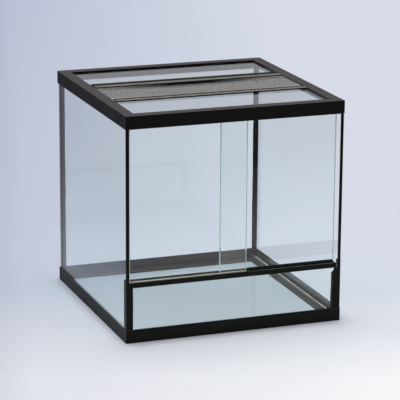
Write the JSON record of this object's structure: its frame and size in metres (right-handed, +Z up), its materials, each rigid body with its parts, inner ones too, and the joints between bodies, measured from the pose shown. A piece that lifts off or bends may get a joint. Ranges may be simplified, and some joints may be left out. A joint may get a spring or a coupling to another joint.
{
  "type": "terrarium",
  "caption": "Cube glass terrarium in black moulded rims, with sliding glass doors over a low front pane and a mesh vent between glass strips in the roof.",
  "frame": {"origin": "on the ground under the middle of the box", "axes": "+Z up, -Y towards the doors, +X to the right of someone facing the doors"},
  "size_m": [0.4, 0.4, 0.4],
  "materials": {
    "black_plastic": "satin moulded black",
    "glass": "clear float glass with ground edges",
    "silicone": "smooth black silicone sealant",
    "vent_mesh": "dull grey woven mesh"
  },
  "bodies": {
    "cabinet": {"base_frame": "black_plastic", "top_frame": "black_plastic", "floor_glass": "glass", "back_glass": "glass", "left_side_glass": "glass", "right_side_glass": "glass", "front_lower_glass": "glass", "top_front_glass": "glass", "top_rear_glass": "glass", "left_corner_post": "black_plastic", "right_corner_post": "black_plastic", "left_edge_strip": "black_plastic", "right_edge_strip": "black_plastic", "lower_door_track": "black_plastic", "upper_door_track": "black_plastic", "vent_front_rail": "black_plastic", "vent_rear_rail": "black_plastic", "vent_mesh": "vent_mesh", "back_left_bead": "silicone", "back_right_bead": "silicone", "front_left_bead": "silicone", "front_right_bead": "silicone", "floor_bead": "silicone"},
    "left_door": {"left_door_glass": "glass"},
    "right_door": {"right_door_glass": "glass"}
  },
  "joints": [
    {"name": "left_door_slide", "type": "slide", "parent": "cabinet", "child": "left_door", "axis": [1, 0, 0], "range_m": [0, 0.1711]},
    {"name": "right_door_slide", "type": "slide", "parent": "cabinet", "child": "right_door", "axis": [1, 0, 0], "range_m": [-0.1679, 0.0032]}
  ]
}
